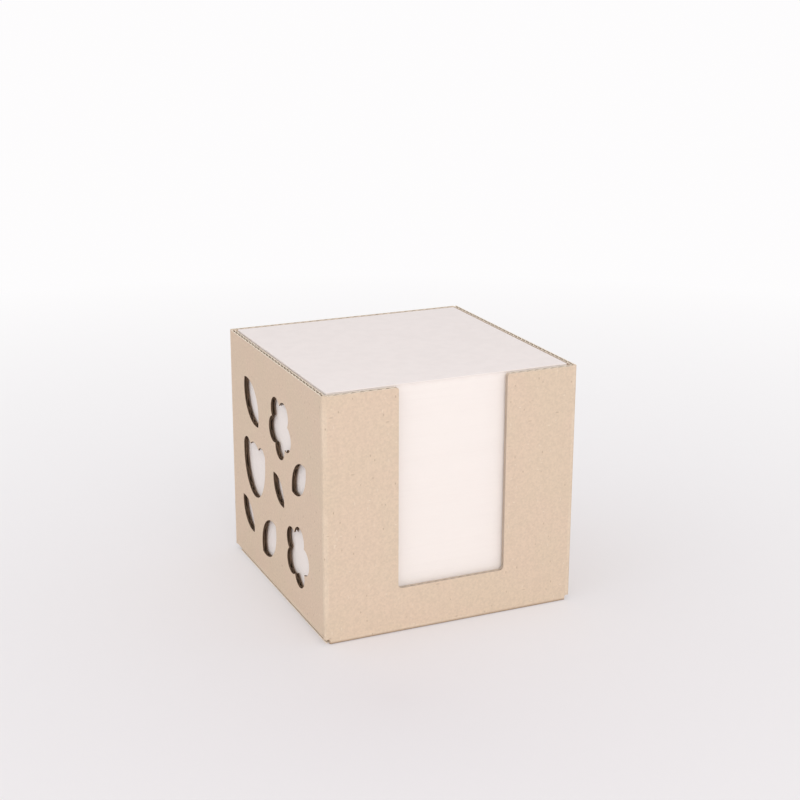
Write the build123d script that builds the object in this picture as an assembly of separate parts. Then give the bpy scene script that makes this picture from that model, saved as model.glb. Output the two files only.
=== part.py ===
from build123d import *
import math
import os

# Note box of folded corrugated board, filled with loose note sheets. Millimetres, +Z up.
# The origin is the centre of the base, on the surface that the box stands on.
# The wall with the window faces -Y, and the wall with the leaf and flower cut-outs faces -X.
#
# The board is one folded blank: four walls with upright flutes, glued at the back right
# corner. A bottom panel hangs on the front wall's lower crease and tucks in behind the
# sheets with a short lip. Two dust flaps hang on the side walls and lie on the bottom panel.

# Note sheets
sheet_width = 90.0
sheet_depth = 90.0
sheet_thickness = 0.1
stack_proud = 0.5
loose_sheet_count = 5
loose_sheet_shift = 0.12

# Board: two flat liners glued to the crests of a fluted medium
liner_thickness = 0.3
flute_height = 1.0
medium_thickness = 0.25
flute_pitch = 3.1
glue_line = 0.01
board = 2 * liner_thickness + flute_height

# Walls and their folds
wall_top = 88.5
fold_radius = 1.0
corner_relief = 2.0
glue_tab_thickness = 1.2
glue_tab_width = 14.0
glue_tab_end_gap = 3.0
glue_tab_taper = 5.0
tab_fold_radius = 0.5

# Bottom panel, its tuck-in lip and the dust flaps
lip_height = 7.0
lip_corner_radius = 3.0
dust_flap_reach = 40.0
dust_flap_corner_radius = 3.0

# Clearances
left_gap = 0.5
tab_gap = 0.3
front_gap = 0.7
lip_gap = 0.3
swing_gap = 0.2
layer_gap = 0.2
crease_gap = 0.2
panel_side_gap = 1.0
lip_side_gap = 1.0
flap_lip_gap = 0.5
flap_slant_gap = 2.4

# Window in the front wall, open at the top
window_width = 40.7
window_sill = 16.3
window_corner_radius = 1.4
window_tip_radius = 0.8

# Cut-outs in the left wall. Places are measured from the middle of the wall, seen from
# outside: first towards the front wall, then up. Angles turn from the front wall upwards.
leaf_upper_back_tips = ((-31.5, 30.3), (-17.1, 14.3))
leaf_upper_back_width = 12.6
leaf_small_tips = ((-1.3, 2.5), (9.4, -7.7))
leaf_small_width = 7.8
leaf_front_tips = ((17.9, 1.6), (31.7, 14.2))
leaf_front_width = 10.2
leaf_lower_back_tips = ((-36.5, -17.8), (-24.2, -29.2))
leaf_lower_back_width = 8.7
leaf_bottom_tips = ((-14.8, -33.2), (-0.3, -18.2))
leaf_bottom_width = 12.6
flower_upper_centre = (6.2, 21.1)
flower_upper_turn = 270.0
flower_lower_centre = (22.0, -21.1)
flower_lower_turn = 0.0
petal_count = 5
petal_radius = 4.85
petal_offset = 6.8
flower_eye_radius = 5.0
tulip_centre = (-22.2, 1.5)
tulip_width = 23.7
tulip_cup_depth = 15.7
tulip_shoulder = 2.5
tulip_notch_height = 3.9
tulip_scallop_height = 5.6
tulip_notch_spacing = 9.0

# Box sizes that follow from the sheets, the board and the clearances. The back wall
# stands just outside the path of the lip's upper edge as the bottom panel swings down.
box_width = board + left_gap + sheet_width + tab_gap + glue_tab_thickness + board
crease_pivot = board / 2
lip_back = board + front_gap + sheet_depth + lip_gap + board
lip_swing = math.hypot(lip_back - crease_pivot, lip_height - crease_pivot)
box_depth = crease_pivot + lip_swing + swing_gap + board

side_bottom = board + layer_gap
flap_top = side_bottom + board
stack_bottom = flap_top
stack_top = wall_top + stack_proud

left_face = -box_width / 2
right_face = box_width / 2
front_face = -box_depth / 2
back_face = box_depth / 2

parts = {}


def wave_face(width):
    """Section of the fluted medium: arcs that curve up and down in turn, a half pitch each.

    The upper and lower outlines lie half the medium's thickness each side of the wave. The
    flutes are a whole number, centred on the width.
    """
    half_pitch = flute_pitch / 2
    rise = (flute_height - medium_thickness) / 2 - glue_line
    arc_radius = ((half_pitch / 2) ** 2 + rise**2) / (2 * rise)
    lean = math.asin(half_pitch / 2 / arc_radius)
    half = medium_thickness / 2
    arc_count = 2 * int(width // flute_pitch)
    start = (width - arc_count * half_pitch) / 2

    def joint(index, side):
        """Point beside the wave where two arcs meet: side is 1 above it and -1 below."""
        sign = 1 if index % 2 == 0 else -1
        along = start + index * half_pitch - sign * side * half * math.sin(lean)
        return (along, side * half * math.cos(lean))

    def crest(index, side):
        """Middle of an arc's outline."""
        sign = 1 if index % 2 == 0 else -1
        return (start + (index + 0.5) * half_pitch, sign * rise + side * half)

    edges = []
    for side in (1, -1):
        for index in range(arc_count):
            ends = (joint(index, side), joint(index + 1, side))
            edges.append(ThreePointArc(ends[0], crest(index, side), ends[1]))
    for index in (0, arc_count):
        edges.append(Line(joint(index, 1), joint(index, -1)))
    return make_face(edges)


def flute_sheet(plane, width, length):
    """Fluted medium of a panel: its section drawn out along the flutes, at mid thickness."""
    sheet = extrude(Plane.XZ * wave_face(width), amount=-length)
    return plane.offset(-board / 2) * sheet


def slab(plane, outline, near, far):
    """Solid of an outline between two depths behind a panel's outer face."""
    return extrude(plane.offset(-near) * outline, amount=near - far)


def add_board(name, plane, outline):
    """Add the three plies of a panel whose outline is drawn on its outer face."""
    size = outline.bounding_box().size
    core = slab(plane, outline, liner_thickness, board - liner_thickness)
    parts[name + "_outer_liner"] = slab(plane, outline, 0, liner_thickness)
    parts[name + "_flutes"] = flute_sheet(plane, size.X, size.Y) & core
    parts[name + "_inner_liner"] = slab(plane, outline, board - liner_thickness, board)


def panel(width, height):
    """Rectangle that starts at its lower left corner."""
    return Rectangle(width, height, align=(Align.MIN, Align.MIN))


def lower_corners(outline):
    """The two lowest corners of an outline."""
    return outline.vertices().group_by(Axis.Y)[0]


def leaf(tips, width):
    """Cut-out between two equal arcs that meet in two tips."""
    first = Vector(*tips[0])
    last = Vector(*tips[1])
    middle = (first + last) / 2
    side = (last - first).normalized().rotate(Axis.Z, 90) * (width / 2)
    edges = [ThreePointArc(first, middle + side, last), ThreePointArc(first, middle - side, last)]
    return make_face(edges)


def flower(centre, turn):
    """Cut-out of round petals about an eye, the first petal at the given angle."""
    shape = Circle(flower_eye_radius)
    for index in range(petal_count):
        angle = turn + index * 360 / petal_count
        shape += Rot(0, 0, angle) * Pos(petal_offset, 0) * Circle(petal_radius)
    return Pos(*centre) * shape


def tulip():
    """Cut-out of a tulip: a half ellipse as the cup and three scallops as its petals."""
    half = tulip_width / 2
    notch = tulip_notch_spacing / 2
    crown = [(-half, tulip_shoulder), (-notch, tulip_notch_height)]
    crown += [(notch, tulip_notch_height), (half, tulip_shoulder)]
    edges = []
    for start, end in zip(crown, crown[1:]):
        peak = ((start[0] + end[0]) / 2, tulip_scallop_height)
        edges.append(ThreePointArc(start, peak, end))
    edges.append(Line((-half, 0), crown[0]))
    edges.append(Line((half, 0), crown[-1]))
    edges.append(EllipticalCenterArc((0, 0), half, tulip_cup_depth, start_angle=180, arc_size=180))
    return Pos(*tulip_centre) * make_face(edges)


def front_wall():
    """Front wall: two upright strips and a sill about the window, which is open at the top."""
    width = box_width - 2 * board
    height = wall_top - board
    sill = window_sill - board
    window = Pos((width - window_width) / 2, sill) * panel(window_width, height)
    outline = panel(width, height) - window
    outline = fillet(outline.vertices().group_by(Axis.Y)[1], window_corner_radius)
    tips = outline.vertices().group_by(Axis.Y)[-1].sort_by(Axis.X)[1:3]
    outline = fillet(tips, window_tip_radius)
    outline = chamfer(lower_corners(outline), corner_relief - board)
    plane = Plane((left_face + board, front_face, board), x_dir=(1, 0, 0), z_dir=(0, -1, 0))
    add_board("front_wall", plane, outline)


def left_wall():
    """Left wall, with the leaf, flower and tulip cut-outs."""
    width = box_depth - 2 * board
    height = wall_top - flap_top
    middle_height = wall_top / 2 - flap_top
    cuts = flower(flower_upper_centre, flower_upper_turn)
    cuts += flower(flower_lower_centre, flower_lower_turn)
    cuts += tulip()
    cuts += leaf(leaf_upper_back_tips, leaf_upper_back_width)
    cuts += leaf(leaf_small_tips, leaf_small_width)
    cuts += leaf(leaf_front_tips, leaf_front_width)
    cuts += leaf(leaf_lower_back_tips, leaf_lower_back_width)
    cuts += leaf(leaf_bottom_tips, leaf_bottom_width)
    outline = chamfer(lower_corners(panel(width, height)), corner_relief - board)
    outline -= Pos(width / 2, middle_height) * cuts
    plane = Plane((left_face, back_face - board, flap_top), x_dir=(0, -1, 0), z_dir=(-1, 0, 0))
    add_board("left_wall", plane, outline)


def right_wall():
    """Right wall: plain, and cut off square at the back, over the glue tab."""
    outline = panel(box_depth - board, wall_top - flap_top)
    outline = chamfer(lower_corners(outline), corner_relief - board)
    plane = Plane((right_face, front_face + board, flap_top), x_dir=(0, 1, 0), z_dir=(1, 0, 0))
    add_board("right_wall", plane, outline)


def back_wall():
    """Back wall: plain, down to the surface that the box stands on, with no flap."""
    width = box_width - 2 * board - glue_tab_thickness
    start = right_face - board - glue_tab_thickness
    plane = Plane((start, back_face, 0), x_dir=(-1, 0, 0), z_dir=(0, 1, 0))
    add_board("back_wall", plane, panel(width, wall_top))


def fold_section():
    """Section of a right-angled fold, as thick as the board, rounded at its lower left."""
    section = panel(board, board)
    return fillet(lower_corners(section).sort_by(Axis.X)[:1], fold_radius)


def corner_folds():
    """Upright folds: crushed board, as thick as the walls, with a rounded outer corner."""
    post = extrude(fold_section(), amount=wall_top - corner_relief)
    parts["front_left_fold"] = Pos(left_face, front_face, corner_relief) * post
    parts["front_right_fold"] = Pos(right_face, front_face, corner_relief) * Rot(0, 0, 90) * post
    parts["back_left_fold"] = Pos(left_face, back_face, corner_relief) * Rot(0, 0, -90) * post


def glue_seam():
    """Fold at the back right corner, and the crushed tab glued inside the right wall."""
    inner = right_face - board
    section = panel(glue_tab_thickness, board)
    corner = section.vertices().group_by(Axis.Y)[-1].sort_by(Axis.X)[-1:]
    fold = extrude(fillet(corner, tab_fold_radius), amount=wall_top)
    parts["back_right_fold"] = Pos(inner - glue_tab_thickness, back_face - board, 0) * fold
    bottom = lip_height + glue_tab_end_gap
    outline = panel(glue_tab_width, wall_top - glue_tab_end_gap - bottom)
    free_corners = outline.vertices().group_by(Axis.X)[0]
    outline = chamfer(free_corners, glue_tab_taper)
    start = back_face - board - glue_tab_width
    plane = Plane((inner, start, bottom), x_dir=(0, 1, 0), z_dir=(1, 0, 0))
    parts["glue_tab"] = slab(plane, outline, 0, glue_tab_thickness)


def crease_bead(length):
    """Crushed crease along +Y that a panel swings about: flat above, half round below."""
    section = Circle(board / 2) + Pos(0, board / 4) * Rectangle(board, board / 2)
    return extrude(Plane.XZ * section, amount=-length)


def swing_creases():
    """The three creases that carry the bottom panel and the dust flaps."""
    side_length = box_depth - 2 * corner_relief
    front_length = box_width - 2 * corner_relief
    height = side_bottom + board / 2
    start = front_face + corner_relief
    side_bead = crease_bead(side_length)
    parts["left_flap_crease"] = Pos(left_face + board / 2, start, height) * side_bead
    parts["right_flap_crease"] = Pos(right_face - board / 2, start, height) * side_bead
    place = Pos(right_face - corner_relief, front_face + board / 2, board / 2)
    parts["bottom_panel_crease"] = place * Rot(0, 0, 90) * crease_bead(front_length)


def bottom_panel():
    """Bottom panel, flutes front to back, between its crease and the fold of its lip."""
    width = box_width - 2 * panel_side_gap
    front = board + crease_gap
    length = lip_back - board - front
    plane = Plane((width / 2, front_face + front, 0), x_dir=(-1, 0, 0), z_dir=(0, 0, -1))
    add_board("bottom_panel", plane, panel(width, length))


def tuck_lip():
    """Lip that stands up behind the sheets, and the fold that joins it to the bottom panel."""
    left = left_face + board + lip_side_gap
    right = right_face - board - glue_tab_thickness - lip_side_gap
    width = right - left
    back = front_face + lip_back
    outline = panel(width, lip_height - board)
    outline = fillet(outline.vertices().group_by(Axis.Y)[-1], lip_corner_radius)
    plane = Plane((right, back, board), x_dir=(-1, 0, 0), z_dir=(0, 1, 0))
    add_board("tuck_lip", plane, outline)
    corner = Plane((right, back, 0), x_dir=(0, -1, 0), z_dir=(-1, 0, 0))
    parts["tuck_lip_fold"] = extrude(corner * fold_section(), amount=width)


def dust_flaps():
    """Dust flaps, with flutes across the box, above the bottom panel.

    The front edge of each slants at 45 degrees, so that a flap never drops lower than the
    bottom panel does below it while both swing down.
    """
    inner = board + crease_gap
    back = lip_back - board - flap_lip_gap
    near = inner + flap_slant_gap
    far = near + dust_flap_reach
    corners = [(near, 0), (back, 0), (back, dust_flap_reach), (far, dust_flap_reach)]
    outline = make_face(Polyline(*corners, close=True))
    outline = fillet(outline.vertices().group_by(Axis.Y)[-1], dust_flap_corner_radius)
    outline = Pos(-near, 0) * outline
    start = (left_face + inner, front_face + near, side_bottom)
    left = Plane(start, x_dir=(0, 1, 0), z_dir=(0, 0, -1))
    add_board("left_dust_flap", left, outline)
    turned = Pos(back - near, 0) * mirror(outline, Plane.YZ)
    start = (right_face - inner, front_face + back, side_bottom)
    right = Plane(start, x_dir=(0, -1, 0), z_dir=(0, 0, -1))
    add_board("right_dust_flap", right, turned)


def sheets(bottom, thickness):
    """Block of sheets of a given thickness, in its place beside the left wall."""
    corner = (left_face + board + left_gap, front_face + board + front_gap, bottom)
    size = (sheet_width, sheet_depth, thickness)
    return Pos(*corner) * Box(*size, align=(Align.MIN, Align.MIN, Align.MIN))


def notes():
    """Stack of note sheets: the block, the loose sheets on it and the top one."""
    loose_thickness = loose_sheet_count * sheet_thickness
    block_top = stack_top - sheet_thickness - loose_thickness
    parts["note_stack"] = sheets(stack_bottom, block_top - stack_bottom)
    loose = []
    for index in range(loose_sheet_count):
        angle = math.radians(index * 360 / loose_sheet_count)
        shift = Pos(loose_sheet_shift * math.cos(angle), loose_sheet_shift * math.sin(angle))
        loose.append(shift * sheets(block_top + index * sheet_thickness, sheet_thickness))
    parts["loose_notes"] = Compound(children=loose)
    parts["top_note"] = sheets(stack_top - sheet_thickness, sheet_thickness)


front_wall()
left_wall()
right_wall()
back_wall()
corner_folds()
glue_seam()
swing_creases()
bottom_panel()
tuck_lip()
dust_flaps()
notes()

os.makedirs("parts", exist_ok=True)
for name, shape in parts.items():
    export_step(shape, f"parts/{name}.step")
print(f"box {box_width:.2f} x {box_depth:.2f} x {stack_top:.2f} mm, {len(parts)} nodes")
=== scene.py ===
"""Looks of a corrugated note box with loose sheets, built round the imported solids.

All lengths are in metres and all colours are linear. The box stands at the origin, +Z up,
with the wall that has the window facing -Y and the wall that has the cut-outs facing -X.
"""

import math

import bpy
import numpy as np
from bpy.props import FloatProperty, FloatVectorProperty, IntProperty, PointerProperty
from mathutils import Matrix, Vector


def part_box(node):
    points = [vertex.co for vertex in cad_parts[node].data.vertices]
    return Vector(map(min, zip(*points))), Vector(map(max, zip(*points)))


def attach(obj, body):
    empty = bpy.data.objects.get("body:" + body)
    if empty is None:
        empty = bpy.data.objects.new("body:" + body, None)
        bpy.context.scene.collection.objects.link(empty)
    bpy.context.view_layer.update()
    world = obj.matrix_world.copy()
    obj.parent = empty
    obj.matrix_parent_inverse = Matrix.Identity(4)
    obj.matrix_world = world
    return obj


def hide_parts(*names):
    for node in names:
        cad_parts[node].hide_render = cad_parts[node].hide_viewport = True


bl_info = {
    "name": "Note box",
    "version": (1, 0, 0),
    "blender": (4, 5, 0),
    "location": "3D View > Sidebar > Note box",
    "description": "Dresses a corrugated note box and its loose sheets, and sets its stage",
    "category": "Object",
}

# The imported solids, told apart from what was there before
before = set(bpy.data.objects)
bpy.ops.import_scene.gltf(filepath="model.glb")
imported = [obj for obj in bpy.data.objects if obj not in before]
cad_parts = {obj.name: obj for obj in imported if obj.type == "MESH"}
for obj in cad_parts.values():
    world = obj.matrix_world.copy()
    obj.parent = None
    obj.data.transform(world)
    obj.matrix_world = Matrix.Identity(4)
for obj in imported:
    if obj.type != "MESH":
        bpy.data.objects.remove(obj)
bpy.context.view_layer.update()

# Where the block of sheets and the walls' top are
STACK_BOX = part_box("note_stack")
WALL_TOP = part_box("front_wall_outer_liner")[1][2]

# A panel's two liners, and whether each one's glued side faces into the box (1) or out (-1)
PLIES = {"outer_liner": 1.0, "inner_liner": -1.0}
FOLD_NODES = ("front_left_fold", "front_right_fold", "back_left_fold")
CREASE_NODES = ("bottom_panel_crease", "left_flap_crease", "right_flap_crease")


# ---------------------------------------------------------------------------- settings


def length(name, description, default):
    """A length in metres that a user can change."""
    return FloatProperty(
        name=name, description=description, default=default, precision=5, unit="LENGTH"
    )


def share(name, description, default):
    """A number without a unit that a user can change."""
    return FloatProperty(name=name, description=description, default=default, min=0.0)


def power(name, description, default):
    """A lamp's power in watts that a user can change."""
    return FloatProperty(
        name=name, description=description, default=default, min=0.0, unit="POWER"
    )


def colour(name, description, default):
    """A linear colour that a user can change."""
    return FloatVectorProperty(
        name=name, description=description, default=default, subtype="COLOR", min=0.0, max=1.0
    )


class BoardSettings(bpy.types.PropertyGroup):
    """Colours and sizes of the corrugated board."""

    kraft: colour("Kraft", "Colour of the flat liners", (0.738, 0.581, 0.447))
    kraft_dull: colour("Dull kraft", "Colour of the liners' duller clouds", (0.727, 0.583, 0.443))
    fold: colour("Fold", "Colour of the stretched paper on the folds", (0.765, 0.622, 0.482))
    medium: colour("Fluted medium", "Colour of the wavy paper inside", (0.93, 0.82, 0.68))
    # Paler than the kraft: partly the glue's own tone, partly painted light in the shaded flute
    # hollows
    glued: colour("Glued side", "Colour of the liners' sides at the flutes", (0.80, 0.68, 0.55))
    shaded: colour("Shaded flutes", "Colour inside the flutes' open ends", (0.34, 0.25, 0.18))
    # Dark fibres, and also the painted shade on the folds' lower rim
    dark_fibre_and_rim_shade: colour("Dark fibres", "Colour of the dark specks", (0.36, 0.23, 0.14))
    fibre_light: colour("Light fibres", "Colour of the light specks", (0.86, 0.74, 0.61))
    cut_edge: colour("Cut edge", "Colour of the blank's cut edges", (0.94, 0.83, 0.69))
    window_edge: colour("Window edge", "Colour of the browned window edge", (0.60, 0.49, 0.40))
    scorch: colour("Scorch", "Colour of the burnt edges of the cut-outs", (0.130, 0.083, 0.052))
    flute_pitch: length("Flute pitch", "Distance from flute to flute", 0.0031)
    washboard: length("Washboard", "How deep the liner sinks between flutes", 0.00003)
    grain: length("Grain", "Height of the paper's grain", 0.00003)
    speck_spacing: length("Speck spacing", "Mean distance between specks", 0.0026)


class PaperSettings(bpy.types.PropertyGroup):
    """Colour and sizes of the note sheets."""

    paper: colour("Paper", "Colour of the sheets", (0.900, 0.832, 0.804))
    # Paler than the tops: partly the cut edges' own tone, partly painted light on the stack's
    # shaded sides
    edge: colour("Sheet edge", "Colour of the sheets' cut edges", (0.947, 0.886, 0.842))
    sheet: length("Sheet", "Thickness of one sheet", 0.0001)
    stray: length("Stray", "How far a sheet strays from the stack's face", 0.00006)
    seed: IntProperty(name="Seed", description="Number that fixes the strays", default=7, min=0)


class StageSettings(bpy.types.PropertyGroup):
    """Floor, lamps and camera."""

    floor: colour("Floor", "Colour of the floor", (0.800, 0.765, 0.775))
    backdrop: colour("Backdrop", "Colour of the far background", (0.985, 0.975, 0.98))
    room_light: colour("Room light", "Colour of the light from all round", (0.98, 0.985, 1.0))
    room_level: share("Room level", "Strength of the light from all round", 0.83)
    key_light: colour("Key light", "Colour of the front lamp", (1.0, 0.97, 0.95))
    key_watts: power("Key power", "Power of the front lamp", 3.7)
    side_light: colour("Side light", "Colour of the lamp on the left", (0.95, 0.97, 1.0))
    side_watts: power("Side power", "Power of the lamp on the left", 1.2)
    lamp_size: length("Lamp size", "Width and height of each lamp", 0.8)
    lens: FloatProperty(
        name="Lens", description="Focal length", default=70.56, min=1.0, unit="CAMERA"
    )


SETTINGS = (
    ("notebox_board", BoardSettings),
    ("notebox_paper", PaperSettings),
    ("notebox_stage", StageSettings),
)


# ------------------------------------------------------------------------ node helpers

PAPER_SPECULAR = 0.25


def node(tree, kind, inputs=None, **settings):
    """A new shader node. Each input is a socket to link or a value to set."""
    made = tree.nodes.new("ShaderNode" + kind)
    for name, value in settings.items():
        setattr(made, name, value)
    for name, value in (inputs or {}).items():
        if isinstance(value, bpy.types.NodeSocket):
            tree.links.new(value, made.inputs[name])
        else:
            made.inputs[name].default_value = value
    return made


def calc(tree, operation, *values, clamp=False):
    """Result of a Math node."""
    made = node(tree, "Math", dict(enumerate(values)), operation=operation, use_clamp=clamp)
    return made.outputs["Value"]


def ramp(tree, value, low, high, start=0.0, end=1.0):
    """The value carried smoothly from the range low..high to start..end."""
    inputs = {"Value": value, "From Min": low, "From Max": high, "To Min": start, "To Max": end}
    made = node(tree, "MapRange", inputs, interpolation_type="SMOOTHSTEP")
    return made.outputs["Result"]


def mix(tree, factor, first, second, blend="MIX"):
    """Two colours mixed by a factor."""
    made = node(tree, "Mix", data_type="RGBA", blend_type=blend)
    sockets = {socket.identifier: socket for socket in made.inputs}
    wanted = {"Factor_Float": factor, "A_Color": first, "B_Color": second}
    for name, value in wanted.items():
        if isinstance(value, bpy.types.NodeSocket):
            tree.links.new(value, sockets[name])
        else:
            sockets[name].default_value = value
    return {socket.identifier: socket for socket in made.outputs}["Result_Color"]


def tint(tree, level, base):
    """A colour made lighter or darker by a level."""
    grey = node(tree, "CombineColor", {0: level, 1: level, 2: level}).outputs[0]
    return mix(tree, 1.0, base, grey, "MULTIPLY")


def rgba(value):
    """A colour setting as the four numbers that a node socket takes."""
    return (*value, 1.0)


def place(tree, turn=(0.0, 0.0, 0.0), stretch=(1.0, 1.0, 1.0)):
    """Object coordinates, turned and stretched."""
    point = node(tree, "TexCoord").outputs["Object"]
    return node(tree, "Mapping", {"Vector": point, "Rotation": turn, "Scale": stretch}).outputs[0]


def coordinate(tree, axis):
    """Place on the piece along one axis, in metres."""
    return node(tree, "SeparateXYZ", {"Vector": place(tree)}).outputs[axis]


def noise(tree, vector, per_metre, detail=2.0, roughness=0.5):
    """Cloudy pattern with that many features to the metre, from 0 to 1."""
    inputs = {"Vector": vector, "Scale": per_metre, "Detail": detail, "Roughness": roughness}
    return node(tree, "TexNoise", inputs).outputs[0]


def specks(tree, vector, spacing, radius, kept):
    """Scattered soft dots: the cells' own centres, of which a share is kept."""
    inputs = {"Vector": vector, "Scale": 1.0 / spacing, "Randomness": 1.0}
    cells = node(tree, "TexVoronoi", inputs, feature="F1")
    size = radius / spacing
    dot = ramp(tree, cells.outputs["Distance"], size, 0.5 * size)
    chance = node(tree, "SeparateColor", {"Color": cells.outputs["Color"]}).outputs["Red"]
    return calc(tree, "MULTIPLY", dot, calc(tree, "LESS_THAN", chance, kept))


def within(tree, value, low, high):
    """1 where the value is between two limits, and 0 elsewhere."""
    above = calc(tree, "GREATER_THAN", value, low)
    return calc(tree, "MULTIPLY", above, calc(tree, "LESS_THAN", value, high))


def blank_material(name):
    """A material without nodes, and its tree."""
    material = bpy.data.materials.new(name)
    material.use_nodes = True
    material.node_tree.nodes.clear()
    return material, material.node_tree


def new_material(name, roughness):
    """A material with the dull gloss of paper, its tree and its shader."""
    material, tree = blank_material(name)
    shader = node(tree, "BsdfPrincipled")
    shader.inputs["Roughness"].default_value = roughness
    shader.inputs["Specular IOR Level"].default_value = PAPER_SPECULAR
    node(tree, "OutputMaterial", {"Surface": shader.outputs["BSDF"]})
    return material, tree, shader


def finish_colour(tree, shader, tinted):
    """Link the finished colour to the shader."""
    tree.links.new(tinted, shader.inputs["Base Color"])


def finish_relief(tree, shader, height):
    """Let a height in metres tilt the surface as the light sees it."""
    bump = node(tree, "Bump", {"Height": height, "Strength": 1.0, "Distance": 1.0})
    tree.links.new(bump.outputs["Normal"], shader.inputs["Normal"])


# --------------------------------------------------------------------------- materials

BOARD_ROUGHNESS = 0.86
SHEET_ROUGHNESS = 0.78

# How squarely a face has to look along an axis to count as facing it
SQUARELY = 0.5

# Kraft: features to the metre, the range of the noise that shows, and the levels it gives
CLOUDS_PER_METRE = 55.0
CLOUD_RANGE = (0.35, 0.65)
MOTTLE_PER_METRE = 1300.0
MOTTLE_RANGE = (0.25, 0.75)
MOTTLE_LEVELS = (0.945, 1.052)
GRAIN_PER_METRE = 2600.0

# Lays of fibres: colour, turn and stretch of the pattern, distance between two dots as a
# share of the speck spacing, share of the dots that is kept, and strength
SPECK_RADIUS = 0.00026
FIBRE_LAYS = (
    ("dark_fibre_and_rim_shade", (0.0, 0.0, 0.0), (0.28, 0.28, 1.0), 1.0, 0.42, 0.34),
    ("dark_fibre_and_rim_shade", (0.5, 0.4, 0.9), (1.0, 1.0, 0.45), 0.8, 0.40, 0.46),
    ("fibre_light", (0.2, 0.9, 0.3), (0.5, 0.5, 1.0), 0.9, 0.55, 0.60),
    ("fibre_light", (1.1, 0.2, 0.6), (1.0, 1.0, 0.35), 0.7, 0.45, 0.45),
)

# Burnt edges: how the scorch varies along them
STREAKS_PER_METRE = 400.0
STREAK_RANGE = (0.3, 0.7)
STREAK_LEVELS = (0.75, 1.25)

# Depth below the walls' top down to which the flutes' sides are shaded
SHADED_DEPTH = 0.003

# Folds: cracks drawn out along the fold, and painted shade on the lower rim next to the floor
CRACK_STRETCH = 0.06
CRACK_RANGE = (0.62, 0.74)
CRACK_LEVELS = (0.0, 0.35)
RIM_SHADE_HEIGHT = 0.0014
RIM_SHADE_SHARE = 0.85

# Note sheets: fibre clouds and fibres of the paper, and a line for each sheet on the sides
SHEET_RANGE = (0.3, 0.7)
SHEET_CLOUDS_PER_METRE = 240.0
SHEET_CLOUD_LEVELS = (0.985, 1.01)
SHEET_LINES_PER_METRE = 45.0
SHEET_LINE_STRETCH = 160.0
SHEET_LINE_LEVELS = (0.985, 1.005)
SHEET_LINE_HEIGHT = 0.00001
SHEET_FIBRES_PER_METRE = 3200.0
SHEET_FIBRE_HEIGHT = 0.000012


def kraft_colour(tree, base, dull, board):
    """Kraft in clouds of two tints, with fine mottling, and dark and light fibres."""
    clouds = noise(tree, place(tree), CLOUDS_PER_METRE, detail=3.0)
    mottle = noise(tree, place(tree), MOTTLE_PER_METRE, detail=3.0)
    tinted = mix(tree, ramp(tree, clouds, *CLOUD_RANGE), rgba(base), rgba(dull))
    tinted = tint(tree, ramp(tree, mottle, *MOTTLE_RANGE, *MOTTLE_LEVELS), tinted)
    for fibre, turn, stretch, spread, kept, strength in FIBRE_LAYS:
        gap = spread * board.speck_spacing
        dots = specks(tree, place(tree, turn, stretch), gap, SPECK_RADIUS, kept)
        shown = calc(tree, "MULTIPLY", dots, strength)
        tinted = mix(tree, shown, tinted, rgba(getattr(board, fibre)))
    return tinted


def board_relief(tree, shader, board, ridge_axis=None):
    """Grain of the paper and, across the flutes, the ripple of a liner that sinks between them.

    The ripple is half the washboard's depth times the sine of the place across the flutes,
    with one full turn for each flute.
    """
    grain = noise(tree, place(tree), GRAIN_PER_METRE, detail=3.0)
    height = calc(tree, "MULTIPLY", grain, board.grain)
    if ridge_axis:
        across = coordinate(tree, ridge_axis)
        phase = calc(tree, "MULTIPLY", across, 2 * math.pi / board.flute_pitch)
        ripple = calc(tree, "MULTIPLY", calc(tree, "SINE", phase), 0.5 * board.washboard)
        height = calc(tree, "ADD", height, ripple)
    finish_relief(tree, shader, height)


def facing(tree, axis):
    """How squarely the surface faces along an axis, from -1 to 1."""
    normal = node(tree, "NewGeometry").outputs["True Normal"]
    return node(tree, "SeparateXYZ", {"Vector": normal}).outputs[axis]


def cut_faces(tree, axis):
    """1 on the faces that a cutter left, which don't face along the axis of the thickness."""
    square = calc(tree, "ABSOLUTE", facing(tree, axis))
    return calc(tree, "LESS_THAN", square, SQUARELY)


def glued_face(tree, axis, flute_side):
    """1 on a liner's face that is glued to the flutes, and 0 elsewhere."""
    inward = calc(tree, "MULTIPLY", facing(tree, axis), flute_side)
    return calc(tree, "GREATER_THAN", inward, SQUARELY)


def liner_material(name, board, axes, flute_side):
    """Flat liner: kraft, paler where it is cut and on the side glued to the flutes.

    The axes are the one through the board and the one across the flutes. The flute side
    is 1 where the glued side faces up the first axis, and -1 where it faces down it.
    Returns the material, its tree, its shader and the colour.
    """
    thickness_axis, ridge_axis = axes
    material, tree, shader = new_material(name, BOARD_ROUGHNESS)
    tinted = kraft_colour(tree, board.kraft, board.kraft_dull, board)
    tinted = mix(tree, cut_faces(tree, thickness_axis), tinted, rgba(board.cut_edge))
    # The glued side's paler tone is partly painted light in the shaded flute hollows
    tinted = mix(tree, glued_face(tree, thickness_axis, flute_side), tinted, rgba(board.glued))
    board_relief(tree, shader, board, ridge_axis)
    return material, tree, shader, tinted


def plain_liner(name, board, axes, flute_side):
    """Liner of a panel with nothing cut in it."""
    material, tree, shader, tinted = liner_material(name, board, axes, flute_side)
    finish_colour(tree, shader, tinted)
    return material


# Zones inside which the cutter browned the board, clear of the panel's own outline
WINDOW_HALF = 0.0212
WINDOW_FLOOR = 0.0150
CUTOUT_REACH = 0.0420
CUTOUT_LOW = 0.0080
CUTOUT_HIGH = 0.0800


def window_zone(tree):
    """1 in the part of the front wall that holds the window."""
    beside = within(tree, coordinate(tree, "X"), -WINDOW_HALF, WINDOW_HALF)
    above = calc(tree, "GREATER_THAN", coordinate(tree, "Z"), WINDOW_FLOOR)
    return calc(tree, "MULTIPLY", beside, above)


def window_colour(tree, board):
    """Colour of the browned window edge."""
    return rgba(board.window_edge)


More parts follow.
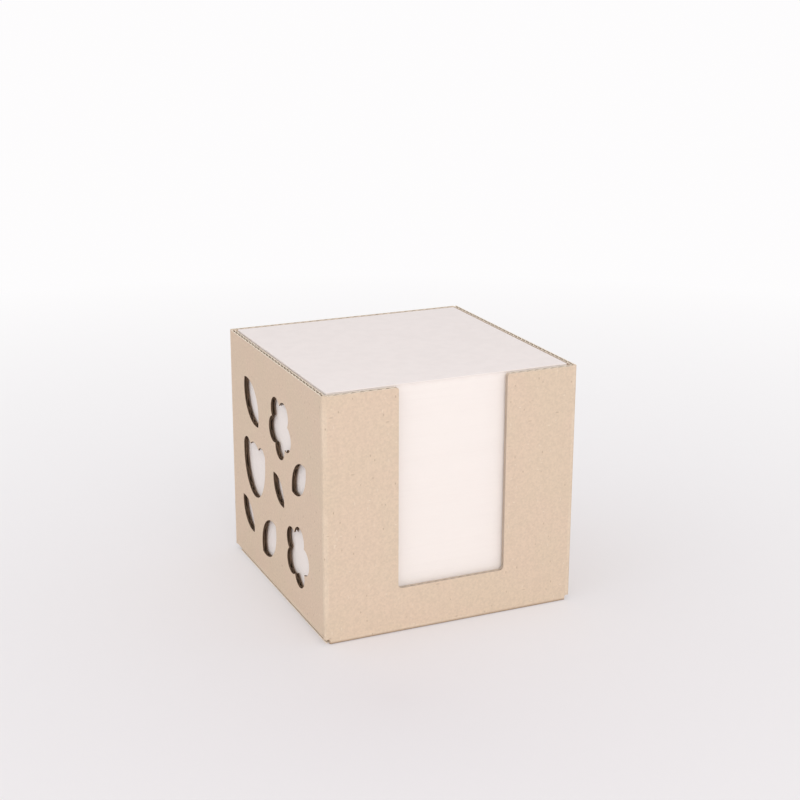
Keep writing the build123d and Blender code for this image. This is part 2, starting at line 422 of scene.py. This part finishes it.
def front_liner(name, board, flute_side):
    """Liner of the front wall, browned on the window's edges."""
    material, tree, shader, tinted = liner_material(name, board, "YX", flute_side)
    zone = calc(tree, "MULTIPLY", window_zone(tree), cut_faces(tree, "Y"))
    finish_colour(tree, shader, mix(tree, zone, tinted, window_colour(tree, board)))
    return material


def cutout_zone(tree):
    """1 in the part of the left wall that holds the cut-outs."""
    along = within(tree, coordinate(tree, "Y"), -CUTOUT_REACH, CUTOUT_REACH)
    above = within(tree, coordinate(tree, "Z"), CUTOUT_LOW, CUTOUT_HIGH)
    return calc(tree, "MULTIPLY", along, above)


def burn_colour(tree, board):
    """Colour of the burnt edges, in uneven streaks from the cutter."""
    streaks = noise(tree, place(tree), STREAKS_PER_METRE)
    return tint(tree, ramp(tree, streaks, *STREAK_RANGE, *STREAK_LEVELS), rgba(board.scorch))


def left_liner(name, board, flute_side):
    """Liner of the left wall, burnt on the cut-outs' edges and where it faces the flutes."""
    material, tree, shader, tinted = liner_material(name, board, "XY", flute_side)
    reached = calc(tree, "MAXIMUM", cut_faces(tree, "X"), glued_face(tree, "X", flute_side))
    zone = calc(tree, "MULTIPLY", cutout_zone(tree), reached)
    finish_colour(tree, shader, mix(tree, zone, tinted, burn_colour(tree, board)))
    return material


def flute_material(name, board, zone=None, burn=None):
    """Fluted medium, shaded inside the walls' open top ends.

    A zone and a burn, given together, say where and how the cutter marked it.
    """
    material, tree, shader = new_material(name, BOARD_ROUGHNESS)
    near_top = calc(tree, "GREATER_THAN", coordinate(tree, "Z"), WALL_TOP - SHADED_DEPTH)
    sides = calc(tree, "LESS_THAN", facing(tree, "Z"), SQUARELY)
    tinted = kraft_colour(tree, board.medium, board.medium, board)
    inside = calc(tree, "MULTIPLY", near_top, sides)
    tinted = mix(tree, inside, tinted, rgba(board.shaded))
    if zone:
        tinted = mix(tree, zone(tree), tinted, burn(tree, board))
    board_relief(tree, shader, board)
    finish_colour(tree, shader, tinted)
    return material


def fold_material(name, board):
    """Crushed board on a fold, with fine upright cracks, painted shade where it meets the floor.
    """
    material, tree, shader = new_material(name, BOARD_ROUGHNESS)
    tinted = kraft_colour(tree, board.fold, board.kraft_dull, board)
    cracks = noise(tree, place(tree, stretch=(1.0, 1.0, CRACK_STRETCH)), GRAIN_PER_METRE)
    cracked = ramp(tree, cracks, *CRACK_RANGE, *CRACK_LEVELS)
    tinted = mix(tree, cracked, tinted, rgba(board.fibre_light))
    # Painted shade: the fold's lower rim darkens towards the floor
    rim_shade = ramp(tree, coordinate(tree, "Z"), RIM_SHADE_HEIGHT, 0.0, 0.0, RIM_SHADE_SHARE)
    tinted = mix(tree, rim_shade, tinted, rgba(board.dark_fibre_and_rim_shade))
    board_relief(tree, shader, board)
    finish_colour(tree, shader, tinted)
    return material


def paper_material(name, paper):
    """White uncoated paper: faint fibre clouds on top, a line for each sheet on the sides."""
    material, tree, shader = new_material(name, SHEET_ROUGHNESS)
    clouds = noise(tree, place(tree), SHEET_CLOUDS_PER_METRE, detail=4.0)
    top = tint(tree, ramp(tree, clouds, *SHEET_RANGE, *SHEET_CLOUD_LEVELS), rgba(paper.paper))
    layers = place(tree, stretch=(1.0, 1.0, SHEET_LINE_STRETCH))
    lines = noise(tree, layers, SHEET_LINES_PER_METRE, detail=3.0, roughness=0.7)
    # The sides' paler colour is partly painted light on the stack's shaded sides
    side = tint(tree, ramp(tree, lines, *SHEET_RANGE, *SHEET_LINE_LEVELS), rgba(paper.edge))
    upright = cut_faces(tree, "Z")
    finish_colour(tree, shader, mix(tree, upright, top, side))
    fibres = noise(tree, place(tree), SHEET_FIBRES_PER_METRE, detail=3.0)
    fibre_height = calc(tree, "MULTIPLY", fibres, SHEET_FIBRE_HEIGHT)
    side_lines = calc(tree, "MULTIPLY", lines, upright)
    line_height = calc(tree, "MULTIPLY", side_lines, SHEET_LINE_HEIGHT)
    finish_relief(tree, shader, calc(tree, "ADD", fibre_height, line_height))
    return material


def looked_at(tree):
    """1 for what the camera sees, straight or in a gloss or through a clear piece."""
    rays = node(tree, "LightPath").outputs
    seen = calc(tree, "MAXIMUM", rays["Is Camera Ray"], rays["Is Glossy Ray"])
    return calc(tree, "MAXIMUM", seen, rays["Is Transmission Ray"])


def floor_material(stage, forward):
    """Floor that keeps the shadow, and fades to the white backdrop as it is looked at.

    The fade is a power of the distance from a point before the box, over the distance at
    which it is full. Seen from below the floor is clear, so the underside shows from there.
    """
    material, tree = blank_material("floor")
    plain = node(tree, "BsdfDiffuse", {"Color": rgba(stage.floor)})
    white = node(tree, "Emission", {"Color": rgba(stage.backdrop), "Strength": 1.0})
    middle = [-FADE_SHIFT * part for part in forward]
    away = node(tree, "VectorMath", {0: place(tree), 1: middle}, operation="DISTANCE")
    straight = calc(tree, "DIVIDE", away.outputs["Value"], FADE_END, clamp=True)
    fade = calc(tree, "POWER", straight, FADE_POWER)
    seen = calc(tree, "MULTIPLY", fade, looked_at(tree))
    surface = node(tree, "MixShader", {0: seen, 1: plain.outputs[0], 2: white.outputs[0]})
    below = node(tree, "NewGeometry").outputs["Backfacing"]
    camera_ray = node(tree, "LightPath").outputs["Is Camera Ray"]
    under = calc(tree, "MULTIPLY", below, camera_ray)
    clear = node(tree, "BsdfTransparent")
    through = node(tree, "MixShader", {0: under, 1: surface.outputs[0], 2: clear.outputs[0]})
    node(tree, "OutputMaterial", {"Surface": through.outputs[0]})
    return material


# ------------------------------------------------------------------------------ meshes


def paint(node_name, material):
    """Give one of the part's nodes its finish."""
    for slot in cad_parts[node_name].material_slots:
        slot.material = material


def ring_shell(rings):
    """Closed shell through rings that run counterclockwise seen from its last ring.

    Each ring has as many points as the next. Quads join neighbours, and one face shuts
    each end. Returns the vertices and the faces.
    """
    count, around = rings.shape[:2]
    index = np.arange(count * around).reshape(count, around)
    low, high = index[:-1], index[1:]
    sides = np.stack((low, np.roll(low, -1, 1), np.roll(high, -1, 1), high), -1)
    faces = sides.reshape(-1, 4).tolist()
    faces += [index[0, ::-1].tolist(), index[-1].tolist()]
    return rings.reshape(-1, 3), faces


def add_piece(name, vertices, faces, material, body, slot_name, *nodes):
    """Add a mesh piece that rides on a body and stands for some of the part's nodes."""
    mesh = bpy.data.meshes.new(name)
    mesh.from_pydata(vertices.tolist(), [], faces)
    mesh.validate()
    mesh.materials.append(material)
    piece = bpy.data.objects.new(name, mesh)
    bpy.context.scene.collection.objects.link(piece)
    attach(piece, body)
    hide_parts(*nodes)


# Sheets that drift together, and how much of a sheet's stray is drift and how much its own
SHEET_GROUP = 37
DRIFT_SHARE = 0.6
JITTER_SHARE = 0.4


def sheet_rings(paper):
    """Side of the stack, sheet by sheet.

    Each sheet is a rectangle that is smaller than the stack's box by twice the stray, and
    lies off its middle by at most the stray: a slow drift, which runs straight from one
    group of sheets to the next, plus a small jitter of its own. Each sheet gives two equal
    rings, at its lower and upper face, so a narrow ledge shows where the next one begins.
    """
    low, high = (np.array(corner) for corner in STACK_BOX)
    count = round((high[2] - low[2]) / paper.sheet)
    random = np.random.default_rng(paper.seed)
    groups = random.uniform(-1.0, 1.0, (count // SHEET_GROUP + 2, 2))
    at = np.arange(count) / SHEET_GROUP
    first = at.astype(int)
    drift = groups[first] + (groups[first + 1] - groups[first]) * (at - first)[:, None]
    jitter = random.uniform(-1.0, 1.0, (count, 2))
    strays = paper.stray * (DRIFT_SHARE * drift + JITTER_SHARE * jitter)
    middle = (low[:2] + high[:2]) / 2 + strays
    half = (high[:2] - low[:2]) / 2 - paper.stray
    signs = np.array([[-1, -1], [1, -1], [1, 1], [-1, 1]])
    corners = middle[:, None, :] + signs[None] * half
    levels = np.linspace(low[2], high[2], count + 1)
    lower = np.concatenate((corners, np.repeat(levels[:-1, None, None], 4, 1)), -1)
    upper = np.concatenate((corners, np.repeat(levels[1:, None, None], 4, 1)), -1)
    return np.stack((lower, upper), 1).reshape(-1, 4, 3)


# --------------------------------------------------------------------------- operators


class NOTEBOX_OT_walls(bpy.types.Operator):
    """Dress the four walls of corrugated board"""

    bl_idname = "notebox.walls"
    bl_label = "Walls"

    def execute(self, context):
        board = context.scene.notebox_board
        for ply, side in PLIES.items():
            paint(f"front_wall_{ply}", front_liner(f"front_{ply}", board, side))
            paint(f"left_wall_{ply}", left_liner(f"left_{ply}", board, side))
            paint(f"right_wall_{ply}", plain_liner(f"right_{ply}", board, "XY", -side))
            paint(f"back_wall_{ply}", plain_liner(f"back_{ply}", board, "YX", -side))
        burnt = flute_material("left_flutes", board, cutout_zone, burn_colour)
        paint("left_wall_flutes", burnt)
        browned = flute_material("front_flutes", board, window_zone, window_colour)
        paint("front_wall_flutes", browned)
        flutes = flute_material("flutes", board)
        paint("right_wall_flutes", flutes)
        paint("back_wall_flutes", flutes)
        return {"FINISHED"}


class NOTEBOX_OT_folds(bpy.types.Operator):
    """Dress the upright folds, the glued seam and the creases"""

    bl_idname = "notebox.folds"
    bl_label = "Folds and creases"

    def execute(self, context):
        board = context.scene.notebox_board
        crushed = fold_material("folded_board", board)
        for name in FOLD_NODES + CREASE_NODES + ("back_right_fold", "glue_tab"):
            paint(name, crushed)
        return {"FINISHED"}


class NOTEBOX_OT_bottom(bpy.types.Operator):
    """Dress the bottom panel, its tuck-in lip and the dust flaps"""

    bl_idname = "notebox.bottom"
    bl_label = "Bottom"

    def execute(self, context):
        board = context.scene.notebox_board
        for ply, side in PLIES.items():
            paint(f"bottom_panel_{ply}", plain_liner(f"panel_{ply}", board, "ZX", side))
            paint(f"tuck_lip_{ply}", plain_liner(f"lip_{ply}", board, "YX", -side))
            flaps = plain_liner(f"flap_{ply}", board, "ZY", side)
            paint(f"left_dust_flap_{ply}", flaps)
            paint(f"right_dust_flap_{ply}", flaps)
        flutes = flute_material("bottom_flutes", board)
        for part in ("bottom_panel", "left_dust_flap", "right_dust_flap", "tuck_lip"):
            paint(f"{part}_flutes", flutes)
        paint("tuck_lip_fold", fold_material("lip_fold", board))
        return {"FINISHED"}


class NOTEBOX_OT_notes(bpy.types.Operator):
    """Build the stack of sheets and dress the loose ones on it"""

    bl_idname = "notebox.notes"
    bl_label = "Note sheets"

    def execute(self, context):
        paper = context.scene.notebox_paper
        white = paper_material("note_paper", paper)
        vertices, faces = ring_shell(sheet_rings(paper))
        add_piece(
            "sheet_stack", vertices, faces, white, "note_stack", "note_paper", "note_stack"
        )
        paint("loose_notes", white)
        paint("top_note", white)
        return {"FINISHED"}


# Camera, fitted to the box's corners: its place, the way it looks and its film's width in mm
CAMERA_PLACE = (-0.2224, -0.5020, 0.2368)
CAMERA_AZIMUTH = math.radians(24.04)
CAMERA_DROP = math.radians(17.07)
CAMERA_ROLL = math.radians(0.15)
SENSOR = 36.0

# Lamps: where each stands about the box, as its angle from the front and its height
KEY_ANGLES = (math.radians(-8.0), math.radians(34.0))
SIDE_ANGLES = (math.radians(-75.0), math.radians(30.0))
LAMP_DISTANCE = 1.2

# Stage: a floor that sweeps up behind the box
STAGE_HALF_WIDTH = 4.0
STAGE_NEAR = -3.0
STAGE_FAR = 1.6
SWEEP_RADIUS = 0.9
SWEEP_STEPS = 24
BACKDROP_HEIGHT = 4.0

# Fade of the floor: how far before the box it starts, where it is full, and its curve
FADE_SHIFT = 0.10
FADE_END = 0.62
FADE_POWER = 0.65


def forward_direction():
    """Level direction in which the camera looks."""
    return (math.sin(CAMERA_AZIMUTH), math.cos(CAMERA_AZIMUTH), 0.0)


def stage_sheet():
    """Floor and backdrop in one: a flat run, a quarter circle up and a straight rise.

    The profile is carried straight across the camera's view.
    """
    angle = np.linspace(0.0, math.pi / 2, SWEEP_STEPS)
    along = np.concatenate(([STAGE_NEAR], STAGE_FAR + SWEEP_RADIUS * np.sin(angle)))
    height = np.concatenate(([0.0], SWEEP_RADIUS * (1.0 - np.cos(angle))))
    along = np.append(along, along[-1])
    height = np.append(height, BACKDROP_HEIGHT)
    forward = np.array(forward_direction())
    across = np.array((forward[1], -forward[0], 0.0))
    profile = along[:, None] * forward + height[:, None] * np.array((0.0, 0.0, 1.0))
    left = profile - STAGE_HALF_WIDTH * across
    right = profile + STAGE_HALF_WIDTH * across
    index = np.arange(len(profile))
    faces = np.stack((index[:-1], index[:-1] + len(index), index[1:] + len(index), index[1:]), -1)
    return np.concatenate((left, right)), faces


def add_lamp(name, angles, size, light_colour, watts):
    """Square lamp that faces the box from an angle and a height."""
    azimuth, height = angles
    lamp = bpy.data.lights.new(name, "AREA")
    lamp.size = size
    lamp.energy = watts
    lamp.color = light_colour
    flat = math.cos(height)
    toward = Vector((math.sin(azimuth) * flat, -math.cos(azimuth) * flat, math.sin(height)))
    stand = bpy.data.objects.new(name, lamp)
    stand.location = toward * LAMP_DISTANCE
    stand.rotation_euler = toward.to_track_quat("Z", "Y").to_euler()
    bpy.context.scene.collection.objects.link(stand)


class NOTEBOX_OT_stage(bpy.types.Operator):
    """Set the floor, the light and the camera"""

    bl_idname = "notebox.stage"
    bl_label = "Stage"

    def execute(self, context):
        stage = context.scene.notebox_stage
        self.floor(stage)
        self.light(context.scene, stage)
        self.camera(context.scene, stage)
        context.scene.view_settings.view_transform = "Standard"
        return {"FINISHED"}

    def floor(self, stage):
        """Floor and backdrop."""
        vertices, faces = stage_sheet()
        mesh = bpy.data.meshes.new("stage_floor")
        mesh.from_pydata(vertices.tolist(), [], faces.tolist())
        mesh.materials.append(floor_material(stage, forward_direction()))
        mesh.shade_smooth()
        floor = bpy.data.objects.new("stage_floor", mesh)
        bpy.context.scene.collection.objects.link(floor)

    def light(self, scene, stage):
        """Even light from all round, which the camera sees as white, and two soft lamps."""
        world = bpy.data.worlds.new("studio")
        world.use_nodes = True
        tree = world.node_tree
        tree.nodes.clear()
        inputs = {"Color": rgba(stage.room_light), "Strength": stage.room_level}
        room = node(tree, "Background", inputs)
        white = node(tree, "Background", {"Color": rgba(stage.backdrop), "Strength": 1.0})
        layers = {0: looked_at(tree), 1: room.outputs[0], 2: white.outputs[0]}
        shown = node(tree, "MixShader", layers)
        node(tree, "OutputWorld", {"Surface": shown.outputs[0]})
        scene.world = world
        size = stage.lamp_size
        add_lamp("key", KEY_ANGLES, size, stage.key_light, stage.key_watts)
        add_lamp("side", SIDE_ANGLES, size, stage.side_light, stage.side_watts)

    def camera(self, scene, stage):
        """Camera at its place, looking down at the box with hardly any roll."""
        data = bpy.data.cameras.new("camera")
        data.sensor_width = SENSOR
        data.lens = stage.lens
        camera = bpy.data.objects.new("camera", data)
        sideways, along, _ = forward_direction()
        flat = math.cos(CAMERA_DROP)
        ahead = Vector((sideways * flat, along * flat, -math.sin(CAMERA_DROP)))
        level = Vector((along, -sideways, 0.0))
        upright = level.cross(ahead)
        right = level * math.cos(CAMERA_ROLL) + upright * math.sin(CAMERA_ROLL)
        up = right.cross(ahead)
        axes = Matrix((right, up, -ahead)).transposed().to_4x4()
        camera.matrix_world = Matrix.Translation(CAMERA_PLACE) @ axes
        scene.collection.objects.link(camera)
        scene.camera = camera


OPERATORS = (
    NOTEBOX_OT_walls,
    NOTEBOX_OT_folds,
    NOTEBOX_OT_bottom,
    NOTEBOX_OT_notes,
    NOTEBOX_OT_stage,
)


class NOTEBOX_PT_panel(bpy.types.Panel):
    """Lists the steps and their settings"""

    bl_label = "Note box"
    bl_idname = "NOTEBOX_PT_panel"
    bl_space_type = "VIEW_3D"
    bl_region_type = "UI"
    bl_category = "Note box"

    def draw(self, context):
        for operator in OPERATORS:
            self.layout.operator(operator.bl_idname)
        for name, group in SETTINGS:
            box = self.layout.box()
            for setting in group.__annotations__:
                box.prop(getattr(context.scene, name), setting)


def register():
    """Add the settings, the steps and the panel to Blender."""
    for name, group in SETTINGS:
        bpy.utils.register_class(group)
        setattr(bpy.types.Scene, name, PointerProperty(type=group))
    for operator in OPERATORS:
        bpy.utils.register_class(operator)
    bpy.utils.register_class(NOTEBOX_PT_panel)


def unregister():
    """Take them out again."""
    bpy.utils.unregister_class(NOTEBOX_PT_panel)
    for operator in reversed(OPERATORS):
        bpy.utils.unregister_class(operator)
    for name, group in reversed(SETTINGS):
        delattr(bpy.types.Scene, name)
        bpy.utils.unregister_class(group)


def main():
    """Build everything in order."""
    register()
    bpy.ops.notebox.walls()
    bpy.ops.notebox.folds()
    bpy.ops.notebox.bottom()
    bpy.ops.notebox.notes()
    bpy.ops.notebox.stage()


if __name__ == "__main__":
    main()
